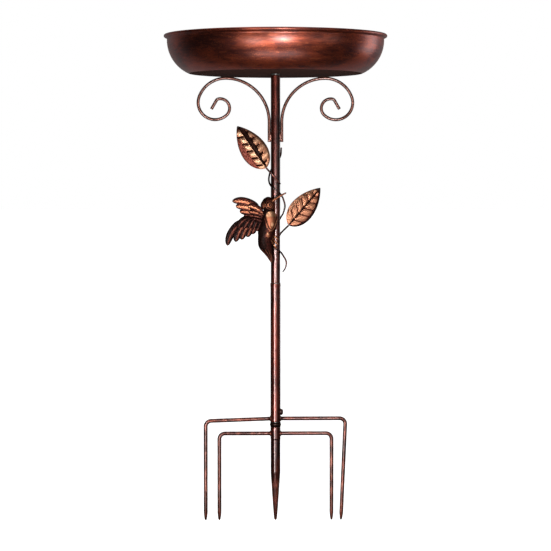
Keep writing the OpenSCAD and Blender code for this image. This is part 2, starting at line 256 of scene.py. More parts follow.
def rubbed_copper(name, groove, shade, face, bright, mottle):
    """Leaves and bird: copper rubbed bright on its raised faces, black-brown in its grooves, and lighter or
    darker where the marks hold painted highlight and painted shade.
    """
    f = Finish(name, Metallic=0.95, Coat_Weight=0.03, Coat_Roughness=0.28,
               Specular_Tint=colour(0.3, 0.14, 0.1))
    relief_and_painted_light = f.relief_and_painted_light()
    clouds = f.grain(70, 70, 70, 4, 0.6, 0.4)
    brushed = f.grain(420, 420, 160, 4, 0.7)
    specks = f.grain(1100, 1100, 1100, 3, 0.7)
    # height: the marks, partly relief and partly painted highlight and painted shade, with random mottling
    height = relief_and_painted_light + mottle * (0.28 * (clouds - 0.5) + 0.22 * (brushed - 0.5))
    skin = f.blend(height.step(0.08, 0.34), groove, shade)
    skin = f.blend(height.step(0.38, 0.64), skin, face)
    skin = f.blend((height + 0.2 * (specks - 0.5)).step(0.7, 0.95) * 0.85, skin, bright)
    f.set(
        Base_Color=skin,
        Roughness=0.38 + 0.2 * clouds + 0.25 * (1 - relief_and_painted_light.step(0.1, 0.6)),
        Normal=f.bumped(brushed * 0.6 + specks * 0.4, 0.00015, 0.6),
    )
    return f.material


def plain_grained(name, metallic, grain, dark, light, roughness, depth, strength):
    """One grain all over: it varies the colour, the roughness and the fine bumps together."""
    f = Finish(name, Metallic=metallic)
    marks = f.grain(*grain)
    f.set(Base_Color=f.blend(marks, dark, light), Roughness=roughness + 0.2 * marks,
          Normal=f.bumped(marks, depth, strength))
    return f.material


BOWL_COPPER = spun_copper("bowl_copper")
POLE_BRONZE = rubbed_bronze(
    "pole_bronze", colour(0.02, 0.005, 0.004), colour(0.12, 0.021, 0.013), colour(0.38, 0.11, 0.07),
    12, 0.4, 0.55
)
ROD_BRONZE = rubbed_bronze(
    "rod_bronze", colour(0.03, 0.009, 0.007), colour(0.15, 0.04, 0.027),
    colour(0.36, 0.13, 0.09), 40, 0.6, 0.35
)
SCROLL_BRONZE = rubbed_bronze(
    "scroll_bronze", colour(0.1, 0.04, 0.03), colour(0.22, 0.09, 0.068),
    colour(0.4, 0.2, 0.15), 30, 0.3
)
VINE_BRONZE = rubbed_bronze(
    "vine_bronze", colour(0.02, 0.008, 0.006), colour(0.08, 0.025, 0.019),
    colour(0.3, 0.12, 0.09), 70, 0.4, 0.3
)
DARK_BRONZE = rubbed_bronze(
    "dark_bronze", colour(0.01, 0.005, 0.004), colour(0.03, 0.012, 0.01),
    colour(0.14, 0.05, 0.035), 60, 0.2, 0.1
)
LEAF_COPPER = rubbed_copper(
    "leaf_copper", colour(0.02, 0.007, 0.005), colour(0.15, 0.035, 0.023),
    colour(0.32, 0.135, 0.075), colour(0.58, 0.34, 0.21), 0.8
)
BIRD_COPPER = rubbed_copper(
    "bird_copper", colour(0.012, 0.005, 0.004), colour(0.06, 0.016, 0.012),
    colour(0.25, 0.085, 0.043), colour(0.66, 0.36, 0.2), 0.5
)
BAR_STEEL = plain_grained("bar_steel", 1.0, (1600, 1600, 40, 3, 0.6), colour(0.3, 0.29, 0.28),
                          colour(0.52, 0.51, 0.5), 0.28, 0.0001, 0.4)
WASHER_RUBBER = plain_grained("washer_rubber", 0.0, (500, 500, 500, 4, 0.7), colour(0.012, 0.012, 0.012),
                              colour(0.05, 0.048, 0.045), 0.7, 0.0001, 0.5)

# -------------------- mesh making


def build(name, points, faces, relief_and_painted_light, finish, body, nodes):
    """A closed mesh from points in millimetres, which stands for the CAD nodes named."""
    mesh = bpy.data.meshes.new(name)
    mesh.from_pydata([Vector(p) * MM for p in points], [], faces)
    mesh.update()
    mesh.polygons.foreach_set("use_smooth", [True] * len(mesh.polygons))
    layer = mesh.attributes.new("relief_and_painted_light", "FLOAT", "POINT")
    layer.data.foreach_set("value", relief_and_painted_light)
    mesh.materials.append(finish)
    thing = put(name, mesh)
    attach(thing, body)
    if nodes:
        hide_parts(*nodes)
    return thing


class Shape:
    """Points, faces and relief that gather until they are built as one piece."""

    def __init__(self):
        self.points = []
        self.faces = []
        self.relief_and_painted_light = []

    def skin(self, rings, relief_and_painted_light=None, closed=False):
        """Skin over rings of points; capped at both ends, or joined round where closed."""
        start = len(self.points)
        count = len(rings[0])
        for i, ring in enumerate(rings):
            self.points += [Vector(p) for p in ring]
            marks = relief_and_painted_light[i] if relief_and_painted_light else 0.5
            self.relief_and_painted_light += list(marks) if isinstance(marks, (list, tuple)) else [marks] * count
        last = len(rings) if closed else len(rings) - 1
        for i in range(last):
            here = start + i * count
            there = start + (i + 1) % len(rings) * count
            for k in range(count):
                n = (k + 1) % count
                self.faces.append((here + k, here + n, there + n, there + k))
        if not closed:
            self.faces.append(tuple(start + k for k in reversed(range(count))))
            end = start + (len(rings) - 1) * count
            self.faces.append(tuple(end + k for k in range(count)))

    def lathe(self, profile, turns=96, axis="z", at=(0, 0, 0), relief_and_painted_light=None):
        """A closed outline of (radius, height) turned about an axis."""
        rings = []
        for a in angles(turns):
            c, s = math.cos(a), math.sin(a)
            if axis == "z":
                rings.append([Vector(at) + Vector((r * c, r * s, z)) for r, z in profile])
            else:
                rings.append([Vector(at) + Vector((z, r * c, r * s)) for r, z in profile])
        marks = [list(relief_and_painted_light)] * turns if relief_and_painted_light else None
        self.skin(rings, marks, closed=True)

    def wire(self, path, radius, sides=20, relief_and_painted_light=0.5, upright=None):
        """Wire of a radius, or one radius for each point, along a path."""
        path = [Vector(p) for p in path]
        radii = radius if isinstance(radius, list) else [radius] * len(path)
        tangents = [
            (path[min(i + 1, len(path) - 1)] - path[max(i - 1, 0)]).normalized()
            for i in range(len(path))
        ]
        side = upright or tangents[0].orthogonal()
        rings = []
        for p, t, r in zip(path, tangents, radii):
            side = (side - t * side.dot(t)).normalized()
            up = t.cross(side)
            rings.append([p + (side * math.cos(a) + up * math.sin(a)) * r for a in angles(sides)])
        marks = relief_and_painted_light if isinstance(relief_and_painted_light, list) else [relief_and_painted_light] * len(path)
        self.skin(rings, marks)

    def sheet(self, surface, rows, columns, thickness):
        """Closed sheet over surface(u, v), which gives a point and its relief. u and v run 0 to 1."""
        front, marks = [], []
        for i in range(rows + 1):
            for j in range(columns + 1):
                p, m = surface(i / rows, j / columns)
                front.append(Vector(p))
                marks.append(m)
        width = columns + 1

        def at(i, j):
            return front[min(max(i, 0), rows) * width + min(max(j, 0), columns)]

        normals = []
        for i in range(rows + 1):
            for j in range(width):
                n = (at(i + 1, j) - at(i - 1, j)).cross(at(i, j + 1) - at(i, j - 1))
                normals.append(n.normalized() if n.length > 1e-9 else Vector((0, -1, 0)))
        start = len(self.points)
        size = len(front)
        self.points += front + [p - n * thickness for p, n in zip(front, normals)]
        self.relief_and_painted_light += marks + [0.35 + 0.3 * m for m in marks]
        for i in range(rows):
            for j in range(columns):
                a = start + i * width + j
                self.faces.append((a, a + width, a + width + 1, a + 1))
                b = a + size
                self.faces.append((b, b + 1, b + width + 1, b + width))
        edge = list(range(width))
        edge += [i * width + columns for i in range(1, rows + 1)]
        edge += [rows * width + j for j in range(columns - 1, -1, -1)]
        edge += [i * width for i in range(rows - 1, 0, -1)]
        for k, a in enumerate(edge):
            b = edge[(k + 1) % len(edge)]
            self.faces.append((start + a, start + b, start + b + size, start + a + size))

    def piece(self, name, finish, body, nodes):
        return build(name, self.points, self.faces, self.relief_and_painted_light, finish, body, nodes)


def smooth_run(rows, steps):
    """Smooth run through rows of numbers, with steps rows from each one to the next."""
    rows = [Vector(r) for r in rows]
    last = len(rows) - 1
    run = []
    for i in range(last):
        a, b = rows[max(i - 1, 0)], rows[i]
        c, d = rows[i + 1], rows[min(i + 2, last)]
        for k in range(steps):
            t = k / steps
            run.append(
                0.5 * (2 * b + (c - a) * t + (2 * a - 5 * b + 4 * c - d) * t * t
                + (3 * b - a - 3 * c + d) * t * t * t)
            )
    return run + [rows[last]]


def rounded(t, edge):
    """0 at both ends of 0 to 1, and 1 from edge inwards, on a quarter circle."""
    d = min(t, 1 - t) / edge
    return math.sqrt(max(0.0, 1 - (1 - min(d, 1)) ** 2))


def arc(cx, cz, radius, start, end, steps):
    """Points from angle start to angle end, in degrees."""
    turns = [math.radians(start + (end - start) * i / steps) for i in range(steps + 1)]
    return [(cx + radius * math.cos(a), cz + radius * math.sin(a)) for a in turns]


def tube_outline(outer, inner, z0, z1, flare):
    """Outline of a tube's wall with rounded ends, its top end flared a little."""
    top, round_r, loop = outer + flare, 0.5, 1.2
    foot, neck = z0 + round_r, z1 - 7
    return (
        [(inner, foot), (inner + round_r, z0), (outer - round_r, z0), (outer, foot)]
        + [(outer, foot + loop), (outer, neck - loop), (outer, neck)]
        + [(top, z1 - 4), (top, z1 - round_r - loop), (top, z1 - round_r), (top - round_r, z1)]
        + [(inner + round_r, z1), (inner, z1 - round_r), (inner, z1 - round_r - loop), (inner, foot + loop)]
    )


# -------------------- bowl


def bowl_outline():
    rim_r = half_width("bowl")
    floor_z, top_z = low("bowl").z, high("bowl").z
    bead_r = rim_r - RIM_BEAD_R
    bead_z = top_z - RIM_BEAD_R
    wall_r = rim_r - 2 * RIM_BEAD_R + 0.2
    arc_z = bead_z - BOWL_LIP
    run, rise = wall_r - BOWL_FLOOR_R, arc_z - floor_z
    curve_r = (run * run + rise * rise) / (2 * run)
    arc_x = wall_r - curve_r

    def skin(inset):
        """Floor, corner and wall, from the middle outwards, inset into the sheet."""
        z = floor_z + inset
        r = curve_r - inset
        corner = BOWL_CORNER_R
        reach = math.sqrt((r - corner) ** 2 - (arc_z - z - corner) ** 2)
        touch = -math.degrees(math.atan2(arc_z - z - corner, reach))
        points = [((arc_x + reach) * k / 12, z) for k in range(1, 12)]
        points += arc(arc_x + reach, z + corner, corner, -90, touch, 8)
        points += arc(arc_x, arc_z, r, touch, 0, 26)[1:]
        return points

    outside = skin(0)
    inside = skin(BOWL_SHEET)
    meet = math.degrees(math.acos((bead_r - wall_r) / RIM_BEAD_R))
    bead = arc(bead_r, bead_z, RIM_BEAD_R, 180 + meet, 450, 22)
    inner_r = wall_r - BOWL_SHEET
    roll = bead_r - inner_r
    over = arc(bead_r, top_z - roll, roll, 90, 180, 8)[1:]
    return [(0.02, floor_z)] + outside + bead + over + inside[::-1] + [(0.02, floor_z + BOWL_SHEET)]


def make_bowl():
    outline = bowl_outline()
    floor_z, top_z = low("bowl").z, high("bowl").z
    relief_and_painted_light = []
    for r, z in outline:
        crest = max(0.0, 1 - abs(z - top_z) / 5)
        # 0 on the underside, which the bowl's finish colours near-black as painted shade
        relief_and_painted_light.append(0.0 if z < floor_z + 0.2 else 0.45 - 0.25 * crest)
    bowl = Shape()
    bowl.lathe(outline, 288, relief_and_painted_light=relief_and_painted_light)
    bowl.piece("spun_bowl", BOWL_COPPER, "basin", ["bowl"])


# -------------------- pole


def make_tubes():
    bore = half_width("spigot") + SLIP
    for word, flare in (("lower", 0.25), ("upper", 0.0)):
        node = word + "_pole"
        tube = Shape()
        tube.lathe(tube_outline(half_width(node), bore, low(node).z, high(node).z, flare), 72)
        tube.piece(word + "_tube", POLE_BRONZE, word + "_section", [node])


def make_spike():
    """Round tube forged to a point, with four long flats that run out into the round."""
    top_z = high("spike").z
    r = half_width("spike")
    shank_r, shoulder_z = r - SPIKE_STEP, SPIKE_SHOULDER_Z
    point_len, tip_r, sides, steps = 76.0, 2.0, 64, 60
    spike = Shape()
    rings, relief_and_painted_light = [], []
    for i in range(steps + 1):
        t = i / steps
        z = point_len * t
        body_r = tip_r + (shank_r - tip_r) * t ** 0.8
        forged = math.sin(math.pi * t) ** 0.6 * 0.07
        ends = math.sqrt(min(1.0, (z + 0.25) / 2.2))
        rings.append(
            [
                Vector((math.cos(a), math.sin(a), 0)) * body_r * ends
                * (1 - forged * (1 - abs(math.sin(2 * a + 0.5)))) + Vector((0, 0, z))
                for a in angles(sides)
            ]
        )
        relief_and_painted_light.append([0.5 + 0.3 * abs(math.sin(2 * a + 0.5)) * min(1, 4 * (1 - t)) for a in angles(sides)])
    for z, ring_r in ((point_len + 2, shank_r), (shoulder_z - 1.2, shank_r), (shoulder_z, shank_r),
                      (shoulder_z, r), (shoulder_z + 1.2, r), (top_z - 1.7, r), (top_z - 0.5, r),
                      (top_z, r - 0.5), (top_z, 0.3)):
        rings.append([Vector((ring_r * math.cos(a), ring_r * math.sin(a), z)) for a in angles(sides)])
        relief_and_painted_light.append(0.5)
    spike.skin(rings, relief_and_painted_light)
    spike.piece("forged_spike", POLE_BRONZE, "anchor", ["spike"])


def make_ring():
    ring = Shape()
    lo, hi = low("spacer_ring"), high("spacer_ring")
    r, bore = half_width("spacer_ring"), half_width("spigot") + SLIP
    outline = [(bore, lo.z + 0.4), (bore + 0.4, lo.z), (r - 0.8, lo.z)]
    outline += arc(r - 2.6, (lo.z + hi.z) / 2, 2.6, -40, 40, 8)
    outline += [(r - 0.8, hi.z), (bore + 0.4, hi.z), (bore, hi.z - 0.4)]
    ring.lathe(outline, 64)
    ring.piece("dark_ring", DARK_BRONZE, "ring", ["spacer_ring"])


def make_boss():
    lo, hi = low("clamp_boss"), high("clamp_boss")
    z, r, face = (lo.z + hi.z) / 2, (hi.z - lo.z) / 2, hi.x
    bore = (high("clamp_screw").z - low("clamp_screw").z) / 2 + SLIP
    tube_r = half_width("lower_pole")
    boss = Shape()
    outline = [(bore, tube_r - 0.6), (r + 0.4, tube_r - 0.9), (r + 0.5, tube_r + 0.2)]
    outline += [(r, tube_r + 1.1), (r, face - 1.0)] + arc(r - 1.0, face - 1.0, 1.0, 0, 90, 5)[1:]
    outline += [(bore + 0.4, face), (bore, face - 0.4)]
    boss.lathe(outline, 48, "x", (0, 0, z))
    boss.piece("screw_boss", ROD_BRONZE, "lower_section", ["clamp_boss"])


def make_screw():
    """Set screw with a hexagon socket: flats is the socket's radius over its corners."""
    lo, hi = low("clamp_screw"), high("clamp_screw")
    z, r = (low("clamp_boss").z + high("clamp_boss").z) / 2, (hi.z - lo.z) / 2
    flats, depth, steps = 1.73, 2.5, 48
    screw = Shape()
    rings = []
    for x, ring_r in ((lo.x, r - 0.9), (lo.x + 0.9, r), (hi.x - 0.5, r), (hi.x, r - 0.5)):
        rings.append([Vector((x, ring_r * math.cos(a), z + ring_r * math.sin(a))) for a in angles(steps)])
    for x in (hi.x, hi.x - depth):
        hexagon = []
        for a in angles(steps):
            side = flats * math.cos(math.pi / 6) / math.cos((a % (math.pi / 3)) - math.pi / 6)
            hexagon.append(Vector((x, side * math.cos(a), z + side * math.sin(a))))
        rings.append(hexagon)
    screw.skin(rings, [0.5, 0.5, 0.6, 0.7, 0.5, 0.1])
    screw.piece("socket_screw", DARK_BRONZE, "screw", ["clamp_screw"])


def make_washer():
    lo, hi = low("bowl_washer"), high("bowl_washer")
    washer = Shape()
    r, bore = half_width("bowl_washer"), half_width("bowl_peg") + SLIP
    washer.lathe([(bore, lo.z), (r - 0.4, lo.z), (r, lo.z + 0.4), (r, hi.z - 0.4),
                  (r - 0.4, hi.z), (bore, hi.z)], 64)
    washer.piece("soft_washer", WASHER_RUBBER, "washer", ["bowl_washer"])


def weld_bead(shape, middle, outward, pipe_r, bead_r, seed, height):
    """Lumpy ring of weld round a rod where it meets a tube."""
    outward = Vector(outward).normalized()
    side = outward.orthogonal().normalized()
    up = outward.cross(side)
    rings, relief_and_painted_light = [], []
    count, around = 60, 12
    for a in angles(count):
        lump = noise.noise(Vector((math.cos(a) * 1.7, math.sin(a) * 1.7, seed))) * 0.35
        ripple = 0.14 * abs(math.sin(a * 7))
        size = bead_r * (1 + lump + ripple)
        out = side * math.cos(a) + up * math.sin(a)
        centre = Vector(middle) + out * pipe_r
        rings.append([centre + out * size * math.cos(b) + outward * size * height * math.sin(b)
                      for b in angles(around)])
        relief_and_painted_light.append(0.45 + 0.3 * ripple / 0.14)
    shape.skin([r[::-1] for r in rings], relief_and_painted_light, closed=True)


# -------------------- prongs


def prong_path(side, tube_r, arm_z, reach, droop, lean):
    """Centre line of an L-shaped rod, from the tube out, round the bend and down to the frame's floor."""
    down, inward = math.radians(droop), math.radians(lean)
    bend = PRONG_BEND_R
    arm = (reach - bend * (math.cos(inward) - math.sin(down))) / math.cos(down)
    x, z = arm * math.cos(down), arm_z - arm * math.sin(down)
    points = []
    for k in range(17):
        out = tube_r + (x - tube_r) * k / 16
        points.append((out, arm_z + (z - arm_z) * out / x))
    cx, cz = x - bend * math.sin(down), z - bend * math.cos(down)
    points += arc(cx, cz, bend, 90 - droop, -lean, 14)[1:]
    ex, ez = points[-1]
    steps = 24
    for k in range(1, steps + 1):
        t = k / steps
        points.append((ex - ez * t * math.tan(inward), ez * (1 - t)))
    return [Vector((side * px, 0, pz)) for px, pz in points]


def taper_to_tip(path, radius, tip_r, point_len):
    """Radii along a path that end in a rounded point."""
    radii = []
    for p in path:
        left = (path[-1] - p).length
        share = min(1.0, left / point_len)
        radii.append(tip_r + (radius - tip_r) * share ** 0.8)
    return radii


def finer_end(path, point_len, steps):
    """The path with more points along its last stretch."""
    last = path[-1]
    direction = (last - path[-2]).normalized()
    kept = [p for p in path if (last - p).length > point_len + 1]
    return kept + [last - direction * point_len * (1 - k / steps) for k in range(steps + 1)]


def make_prong(name, node, body, side, tube_r, arm_z, reach, seed, droop=0.0, lean=0.0):
    path = prong_path(side, tube_r, arm_z, reach, droop, lean)
    path = finer_end(path, PRONG_POINT, 12)
    radii = taper_to_tip(path, PRONG_R, 1.5, PRONG_POINT)
    for k, short in ((-1, 0.55), (-2, 0.9)):
        radii[k] *= short
    rod = Shape()
    for i, p in enumerate(path):
        drift = noise.noise(Vector((p.x * 0.02, seed, p.z * 0.02))) * 0.25
        radii[i] *= 1 + 0.02 * noise.noise(Vector((p.x * 0.15, seed + 4, p.z * 0.15)))
        if 0 < i < len(path) - 6:
            path[i] = p + Vector((0, drift, 0))
    rod.wire(path, radii, 28, upright=Vector((0, 1, 0)))
    weld_bead(rod, (side * (tube_r + 0.1), 0, arm_z), (side, 0, 0), PRONG_R + 0.1, 1.0, seed + 1, 0.9)
    rod.piece(name, ROD_BRONZE, body, [node])


def make_prongs():
    spike_r, pole_r = half_width("spike"), half_width("lower_pole")
    outer_z = low("lower_pole").z + OUTER_ARM_FROM_END
    inner_reach = high("prong_inner_right").x - PRONG_R
    outer_reach = -low("prong_outer_left").x - PRONG_R
    for seed, word, side in ((1.0, "left", -1), (2.0, "right", 1)):
        make_prong("inner_prong_" + word, "prong_inner_" + word, "anchor", side, spike_r, INNER_ARM_Z,
                   inner_reach, seed)
    make_prong("outer_prong_left", "prong_outer_left", "lower_section", -1, pole_r, outer_z,
               outer_reach, 3.0, droop=LEFT_DROOP)
    make_prong("outer_prong_right", "prong_outer_right", "lower_section", 1, pole_r, outer_z,
               OUTER_RIGHT_REACH, 4.0, lean=RIGHT_LEAN)


# -------------------- scrolls


def scroll_path(side, foot_x, foot_z):
    """Hand-bent wire: a riser, then arcs that tighten into a curl with a straight end.

    Each run is a length and 0, or an arc's radius and how far it turns in degrees.
    """
    runs = ((32, 0), (69.4, 90), (45, 70), (27, 153), (15, 147), (5, 50), (16, 0))
    x, z, heading = 0.0, 0.0, 90.0
    points = [(x, z)]
    for size, turn in runs:
        if not turn:
            steps = 8
            dx, dz = math.cos(math.radians(heading)), math.sin(math.radians(heading))
            points += [(x + dx * size * k / steps, z + dz * size * k / steps)
                       for k in range(1, steps + 1)]
        else:
            cx = x - size * math.sin(math.radians(heading))
            cz = z + size * math.cos(math.radians(heading))
            steps = max(6, int(turn / 4))
            points += arc(cx, cz, size, heading - 90, heading - 90 + turn, steps)[1:]
            heading += turn
        x, z = points[-1]
    return [Vector((-side * px + side * foot_x, 0, foot_z + pz)) for px, pz in points]


def make_scroll(name, node, side, seed):
    tube_r = half_width("upper_pole")
    path = scroll_path(side, tube_r + 0.05 + SCROLL_R, low(node).z)
    radii = [SCROLL_R] * len(path)
    for i in range(1, len(path) - 1):
        radii[i] *= 1 + 0.02 * noise.noise(path[i] * 0.12 + Vector((seed, 0, 0)))
    first, last = path[0].copy(), path[-1].copy()
    path = [first, first.lerp(path[1], 0.1)] + path[1:-1] + [last.lerp(path[-2], 0.2), last]
    radii = [SCROLL_R - 0.4, SCROLL_R] + radii[1:-1] + [SCROLL_R, SCROLL_R - 0.4]
    scroll = Shape()
    scroll.wire(path, radii, 24, upright=Vector((0, 1, 0)))
    steps = 14
    lumps = [abs(math.sin(k * 1.3)) for k in range(steps + 1)]
    weld = [Vector((side * (tube_r + 0.35), -0.6, path[0].z + 1 + 15 * k / steps)) for k in range(steps + 1)]
    size = [2.3 * rounded(k / steps, 0.3) * (1 + 0.18 * lump) + 0.15 for k, lump in enumerate(lumps)]
    scroll.wire(weld, size, 16, [0.35 + 0.4 * lump for lump in lumps])
    scroll.piece(name, SCROLL_BRONZE, "upper_section", [node])


# -------------------- vine and leaves

# Each vine: height up, angle round the pole and how far it stands off it
VINE_UPPER = ((216, 0, 0), (205, 20, 0), (190, 90, 0), (176, 155, 0.6), (165, 182, 1.6),
              (156, 215, 0.8), (149, 270, 0), (142, 325, 0.4), (134, 352, 3.4), (123, 362, 6),
              (112, 368, 3.6), (105, 385, 0.6), (100, 410, 0))
VINE_LOWER = ((94, 430, 0), (84, 458, 0), (74, 490, 0), (66, 518, 0), (60, 560, 0),
              (56, 610, 0), (52, 660, 0), (48, 700, 0.8), (43, 716, 3.6), (37, 722, 7),
              (31, 724, 8.4), (23, 724, 6.4), (17, 722, 2.2))


def vine_path(turns):
    tube_r = half_width("upper_pole")
    base = low("upper_pole").z
    path = []
    for height, angle, gap in smooth_run(turns, 10):
        r = tube_r + VINE_STAND_OFF + gap
        a = math.radians(angle)
        path.append(Vector((r * math.cos(a), r * math.sin(a), base + height)))
    return path


def tapered(count, wire_r, start, end):
    """Wire radii that shrink towards a drawn-out start or end."""
    radii = []
    for i in range(count):
        t = i / (count - 1)
        r = wire_r * (start + (1 - start) * min(1, t / 0.15))
        radii.append(r * (end + (1 - end) * min(1, (1 - t) / 0.2)))
    return radii


def make_vines():
    for word, turns, end in (("upper", VINE_UPPER, 0.9), ("lower", VINE_LOWER, 0.6)):
        vine = Shape()
        path = vine_path(turns)
        vine.wire(path, tapered(len(path), VINE_R, 0.9, end), 14)
        vine.piece("vine_wire_" + word, VINE_BRONZE, "upper_section", ["vine_" + word])


def ridge(x, middle, half):
    """1 at the middle and 0 from half either side of it, on a smooth curve."""
    t = max(0.0, 1 - abs(x - middle) / half)
    return t * t * (3 - 2 * t)


def rise(x, start, end):
    t = min(1.0, max(0.0, (x - start) / (end - start)))
    return t * t * (3 - 2 * t)


def upper_leaf_face(a, b, t, half):
    """Lift and mark at a along the leaf and b across it, in millimetres. The mark holds relief, and also
    painted highlight and painted shade.
    """
    dash = 0.0
    if b > 0:
        first, step = 6.3, 13.6
        for k in range(5):
            line = a - (first + step * k) - (0.52 - 0.02 * k) * b
            dash = max(dash, ridge(line, 0, 1.9) * rise(b, 0.6, 2.2) * (1 - rise(b, 9.2, 11.4)))
        puff = ridge((a - first - 0.5 * b) % step, step / 2, 7.2) * rise(b, 0, 3) * (1 - rise(b, 8, 13))
        # crest is a raised ridge beside the midrib, lightened as a painted highlight; the puffs are lightened
        # partly as rubbed copper, partly as painted highlight
        crest = ridge(b, 1.3, 1.7)
        # This half is darker from 6.5 mm out and again at its edge: painted shade on the side that turns from
        # the light
        mark = 0.36 + 0.42 * (1 - rise(b, 6.5, 11)) + 0.14 * puff + 0.2 * crest - 0.85 * dash
        mark -= 0.16 * rise(b, half - 2.6, half)
        return 1.1 * puff + 0.8 * crest - 1.0 * dash, mark
    c = -b
    first, step = 8.0, 13.7
    # A band beside the midrib, wider towards the leaf's middle, is sunk as a valley and coloured near-black
    # as a painted shadow
    painted_shadow_width = 1.4 + 4.8 * rise(t, 0.02, 0.5)
    for k in range(5):
        line = a - first - step * k - 0.2 * c
        reach = rise(c, painted_shadow_width - 2, painted_shadow_width) * (1 - rise(c, painted_shadow_width + 5.2, painted_shadow_width + 7.2))
        dash = max(dash, ridge(line, 0, 2.0) * reach)
    puff = ridge((a - first - 0.2 * c) % step, step / 2, 7.4)
    outside = rise(c, painted_shadow_width - 0.5 + 1.4 * (1 - puff), painted_shadow_width + 0.7 + 1.4 * (1 - puff))
    mark = 0.1 + 0.56 * outside + 0.2 * puff * outside - 0.75 * dash
    mark -= 0.4 * rise(c, half - 1.6, half - 0.4)
    lift = -1.3 * rise(c, 0, 1.5) * (1 - outside) + (0.6 + 1.0 * puff) * outside - 0.9 * dash
    return lift * (1 - rise(c, half - 4, half)), mark


def lower_leaf_face(a, b, t, half):
    """As upper_leaf_face, for the leaf with the thin midrib."""
    first, step, half_step = 5.0, 12.5, 6.2
    knot = ridge((a - first) % step, half_step, 4.0)
    rib = 1 - rise(abs(b), 0.35 + 0.5 * knot, 1.2 + 0.7 * knot)
    c = abs(b)
    slope = 0.75 if b > 0 else 0.45
    line = (a - first - slope * c) % step
    vein = (ridge(line, half_step, 1.1) * rise(c, 0.3, 1.5)
            * (1 - rise(c, half * (0.62 if b > 0 else 0.7), half * 0.9)))
    puff = ridge((line + step / 2) % step, half_step, 6.4) * rise(c, 0.5, 4) * (1 - rise(c, half * 0.6, half))
    if b > 0:
        # A band just inside the upper margin is lightened as a painted highlight
        mark = 0.6 + 0.06 * puff + 0.2 * ridge(c, half - 3.2, 3.0) - 0.3 * vein
        mark -= 0.3 * rise(c, half - 0.9, half)
    else:
        # The puffs are lightened partly as rubbed copper, partly as painted highlight, and a band along the
        # lower margin is darkened as painted shade
        mark = 0.54 + 0.14 * puff - 0.3 * vein
        mark -= 0.55 * rise(c, half - 6.0 + 1.6 * puff, half - 2.8 + 1.6 * puff)
    return 0.9 * puff - 0.8 * vein - 1.0 * rib, mark - 0.75 * rib


def leaf_surface(length, width, dome, face, seed):
    """Embossed leaf along +X, with the lift and the marks that its face gives: relief, painted highlight and
    painted shade.
    """
    peak = 0.4 ** 0.6 * 0.6 ** 0.9

    def surface(u, v):
        t = 0.004 + 0.992 * u
        half = max(width / 2 * t ** 0.6 * (1 - t) ** 0.9 / peak, 0.35)
        s = 2 * v - 1
        lift, mark = face(t * length, half * s, t, half)
        body = dome * math.sin(math.pi * t) * (1 - s * s)
        wave = 0.35 * math.sin(9 * t + seed) * s * s
        ends = rise(t, 0, 0.1) * (1 - rise(t, 0.88, 1))
        mark -= 0.9 * rise(t, 0.89, 0.95) + 0.3 * (1 - rise(t, 0, 0.06))
        return Vector((t * length, half * s, body + wave + lift * ends)), min(1.0, max(0.0, mark))

    return surface


def placed(surface, base, lean):
    """A surface along +X set at base, facing the front and leaning up from level."""
    c, s = math.cos(math.radians(lean)), math.sin(math.radians(lean))

    def moved(u, v):
        p, mark = surface(u, v)
        return Vector(base) + Vector((p.x * c - p.y * s, -p.z, p.x * s + p.y * c)), mark

    return moved


def make_leaf(name, node, base, lean, length, width, face, seed):
    """A leaf whose foot stands at base. It gives that point back, for the stem to end at."""
    base = (base[0], base[1], low("upper_pole").z + base[2])
    leaf = Shape()
    leaf.sheet(placed(leaf_surface(length, width, 3.0, face, seed), base, lean), 200, 100, 0.7)
    leaf.piece(name, LEAF_COPPER, "upper_section", [node])
    return base


def make_stem(name, node, finish, points, start):
    stem = Shape()
    path = smooth_run(points, 8)
    stem.wire(path, tapered(len(path), STEM_R, start, 1.0), 14)
    stem.piece(name, finish, "upper_section", [node])


def make_leaves():
    base_z = low("upper_pole").z
    front = -half_width("upper_pole") - 1.5
    foot = make_leaf("upper_leaf", "leaf_upper", (-15.2, -12, 183.5), 124.8, 81, 42,
                     upper_leaf_face, 0.4)
    points = [(7.6, -5.4, base_z + 158), (4.4, front + 1, base_z + 161.6), (-1, front - 0.6, base_z + 168),
              (-8, front - 1.6, base_z + 175.6), foot]
    make_stem("upper_leaf_stem", "leaf_upper_stem", ROD_BRONZE, points, 0.7)
    foot = make_leaf("lower_leaf", "leaf_lower", (21.1, -8, 92.3), 49.9, 78, 39,
                     lower_leaf_face, 2.1)
    points = [(6.2, -6.6, base_z + 76), (8.6, -7.4, base_z + 80), (14, -8, base_z + 85.6), foot]
    make_stem("lower_leaf_stem", "leaf_lower_stem", DARK_BRONZE, points, 0.9)


# -------------------- hummingbird

# Level sections from the rump to the crown: x, y, height up, half width and half depth
BIRD_SECTIONS = ((-16, -17, 54, 9.2, 7), (-17.6, -17.5, 62, 10.6, 8.6), (-17, -18, 72, 11.4, 9.6),
                 (-14, -18.5, 86, 14, 10.4), (-10.5, -18.5, 103, 12.6, 10), (-11.5, -18.5, 115, 8.8, 8.2),
                 (-12.3, -18.5, 120, 9.7, 8.8), (-12.3, -18.5, 126, 10.4, 9.2), (-12.3, -18.5, 131, 9.2, 8.2),
                 (-12.2, -18.5, 135, 6.4, 5.8), (-12, -18.5, 137.6, 2, 1.8))
TAIL_SECTIONS = ((-6.4, -15, 33, 1.6, 0.8), (-9.6, -16, 42, 4.6, 1.6), (-13.6, -16.8, 49, 6.6, 3.4),
                 (-16, -17, 54, 9, 6.6))
BEAK_POINTS = ((-6, -22, 130.8), (-1, -23.4, 134.2), (8, -24, 139.8), (16.4, -24, 144.1))
WING_Y = -20.0

